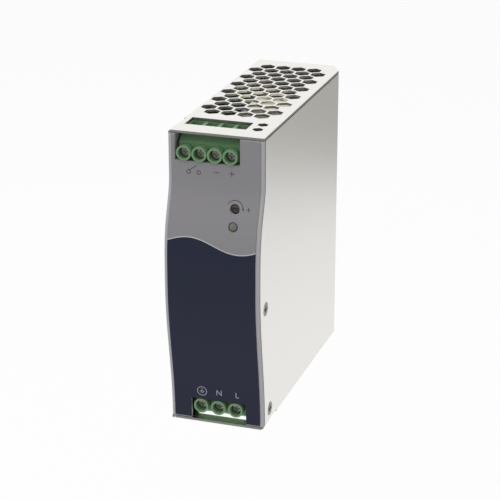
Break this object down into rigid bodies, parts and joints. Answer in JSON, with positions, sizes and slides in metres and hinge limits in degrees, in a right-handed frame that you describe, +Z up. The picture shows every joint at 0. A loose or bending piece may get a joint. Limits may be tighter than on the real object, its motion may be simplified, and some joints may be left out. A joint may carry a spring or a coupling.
{
  "type": "din rail power supply",
  "caption": "Slim metal-cased power supply that clips on a DIN rail: honeycomb vents, curved front, screw terminals at top and bottom, trimmer, indicator and a sprung rail latch.",
  "frame": {"origin": "middle of the rail seat, the rear face of the rail bracket that the rail's lips bear on, at half the case's height", "axes": "+X to the right seen from the front, +Y to the rear towards the rail, +Z up"},
  "size_m": [0.04, 0.12, 0.1252],
  "materials": {
    "case_metal": "satin bent sheet metal",
    "cover_plastic": "moulded light grey plastic with a fine grain",
    "label_print": "printed film, grey above and dark blue below",
    "rail_steel": "zinc-plated steel",
    "spring_steel": "bright spring wire",
    "screw_steel": "nickel-plated screws",
    "clamp_steel": "zinc-plated clamp cages",
    "contact_copper": "tinned copper alloy",
    "terminal_green": "green moulded polyamide",
    "lens_grey": "unlit diffused lens",
    "trimmer_blue": "blue moulded body",
    "trimmer_white": "white moulded rotor",
    "board_green": "glass-epoxy board under solder mask",
    "insulation_film": "insulating film",
    "ferrite": "dark sintered ferrite",
    "winding_tape": "cream tape over the winding",
    "choke_copper": "enamelled copper",
    "heatsink_aluminium": "mill finish",
    "package_black": "moulded semiconductor packages",
    "sleeve_blue": "shrink sleeve",
    "film_yellow": "moulded capacitor case",
    "relay_white": "moulded relay case",
    "fuse_ceramic": "ceramic tube"
  },
  "bodies": {
    "case": {"chassis": "case_metal", "side_cover": "case_metal", "rear_panel": "case_metal", "front_cover": "cover_plastic", "front_label": "label_print", "rail_bracket": "rail_steel", "latch_spring": "spring_steel", "bracket_screw_lower": "screw_steel", "bracket_screw_upper": "screw_steel", "left_case_screw_lower": "screw_steel", "left_case_screw_upper": "screw_steel", "right_case_screw_lower": "screw_steel", "right_case_screw_upper": "screw_steel", "output_1_contact": "contact_copper", "output_2_contact": "contact_copper", "output_3_contact": "contact_copper", "output_4_contact": "contact_copper", "input_1_contact": "contact_copper", "input_2_contact": "contact_copper", "input_3_contact": "contact_copper", "output_housing": "terminal_green", "input_housing": "terminal_green", "status_led": "lens_grey", "trimmer_body": "trimmer_blue", "main_board": "board_green", "control_board": "board_green", "insulation_sheet": "insulation_film", "transformer_core": "ferrite", "transformer_winding": "winding_tape", "input_choke": "choke_copper", "output_choke": "choke_copper", "primary_heatsink": "heatsink_aluminium", "secondary_heatsink": "heatsink_aluminium", "switching_transistor": "package_black", "output_rectifier": "package_black", "bridge_rectifier": "package_black", "bulk_capacitor": "sleeve_blue", "output_capacitor_1": "sleeve_blue", "output_capacitor_2": "sleeve_blue", "line_filter_capacitor": "film_yellow", "signal_relay": "relay_white", "fuse": "fuse_ceramic"},
    "rail_latch": {"rail_latch": "rail_steel"},
    "trimmer_rotor": {"trimmer_rotor": "trimmer_white"},
    "output_1_screw": {"output_1_screw": "screw_steel"},
    "output_1_clamp": {"output_1_clamp": "clamp_steel"},
    "output_2_screw": {"output_2_screw": "screw_steel"},
    "output_2_clamp": {"output_2_clamp": "clamp_steel"},
    "output_3_screw": {"output_3_screw": "screw_steel"},
    "output_3_clamp": {"output_3_clamp": "clamp_steel"},
    "output_4_screw": {"output_4_screw": "screw_steel"},
    "output_4_clamp": {"output_4_clamp": "clamp_steel"},
    "input_1_screw": {"input_1_screw": "screw_steel"},
    "input_1_clamp": {"input_1_clamp": "clamp_steel"},
    "input_2_screw": {"input_2_screw": "screw_steel"},
    "input_2_clamp": {"input_2_clamp": "clamp_steel"},
    "input_3_screw": {"input_3_screw": "screw_steel"},
    "input_3_clamp": {"input_3_clamp": "clamp_steel"}
  },
  "joints": [
    {"name": "rail_latch_slide", "type": "slide", "parent": "case", "child": "rail_latch", "axis": [0, 0, -1], "range_m": [0, 0.0055], "stiffness_N_per_m": 600, "springref_m": -0.003, "deforming": ["latch_spring"]},
    {"name": "trimmer_turn", "type": "hinge", "parent": "case", "child": "trimmer_rotor", "pos_m": [0.0086, -0.1055, 0.0332], "axis": [0, 1, 0], "range_deg": [-120, 120]},
    {"name": "output_1_clamp_rise", "type": "slide", "parent": "case", "child": "output_1_clamp", "axis": [0, -1, 0], "range_m": [0, 0.002]},
    {"name": "output_1_screw_turn", "type": "hinge", "parent": "case", "child": "output_1_screw", "pos_m": [-0.01316, -0.1041, 0.0538], "axis": [0, 1, 0], "range_deg": [-90, 1530]},
    {"name": "output_2_clamp_rise", "type": "slide", "parent": "case", "child": "output_2_clamp", "axis": [0, -1, 0], "range_m": [0, 0.002]},
    {"name": "output_2_screw_turn", "type": "hinge", "parent": "case", "child": "output_2_screw", "pos_m": [-0.00672, -0.1041, 0.0538], "axis": [0, 1, 0], "range_deg": [-90, 1530]},
    {"name": "output_3_clamp_rise", "type": "slide", "parent": "case", "child": "output_3_clamp", "axis": [0, -1, 0], "range_m": [0, 0.002]},
    {"name": "output_3_screw_turn", "type": "hinge", "parent": "case", "child": "output_3_screw", "pos_m": [-0.00028, -0.1041, 0.0538], "axis": [0, 1, 0], "range_deg": [-90, 1530]},
    {"name": "output_4_clamp_rise", "type": "slide", "parent": "case", "child": "output_4_clamp", "axis": [0, -1, 0], "range_m": [0, 0.002]},
    {"name": "output_4_screw_turn", "type": "hinge", "parent": "case", "child": "output_4_screw", "pos_m": [0.00616, -0.1041, 0.0538], "axis": [0, 1, 0], "range_deg": [-90, 1530]},
    {"name": "input_1_clamp_rise", "type": "slide", "parent": "case", "child": "input_1_clamp", "axis": [0, -1, 0], "range_m": [0, 0.002]},
    {"name": "input_1_screw_turn", "type": "hinge", "parent": "case", "child": "input_1_screw", "pos_m": [-0.00686, -0.1041, -0.055], "axis": [0, 1, 0], "range_deg": [-90, 1530]},
    {"name": "input_2_clamp_rise", "type": "slide", "parent": "case", "child": "input_2_clamp", "axis": [0, -1, 0], "range_m": [0, 0.002]},
    {"name": "input_2_screw_turn", "type": "hinge", "parent": "case", "child": "input_2_screw", "pos_m": [0.0006, -0.1041, -0.055], "axis": [0, 1, 0], "range_deg": [-90, 1530]},
    {"name": "input_3_clamp_rise", "type": "slide", "parent": "case", "child": "input_3_clamp", "axis": [0, -1, 0], "range_m": [0, 0.002]},
    {"name": "input_3_screw_turn", "type": "hinge", "parent": "case", "child": "input_3_screw", "pos_m": [0.00806, -0.1041, -0.055], "axis": [0, 1, 0], "range_deg": [-90, 1530]}
  ],
  "couplings": [
    {"joint": "output_1_screw_turn", "follows": "output_1_clamp_rise", "rad_per_m": 12566},
    {"joint": "output_2_screw_turn", "follows": "output_2_clamp_rise", "rad_per_m": 12566},
    {"joint": "output_3_screw_turn", "follows": "output_3_clamp_rise", "rad_per_m": 12566},
    {"joint": "output_4_screw_turn", "follows": "output_4_clamp_rise", "rad_per_m": 12566},
    {"joint": "input_1_screw_turn", "follows": "input_1_clamp_rise", "rad_per_m": 12566},
    {"joint": "input_2_screw_turn", "follows": "input_2_clamp_rise", "rad_per_m": 12566},
    {"joint": "input_3_screw_turn", "follows": "input_3_clamp_rise", "rad_per_m": 12566}
  ]
}
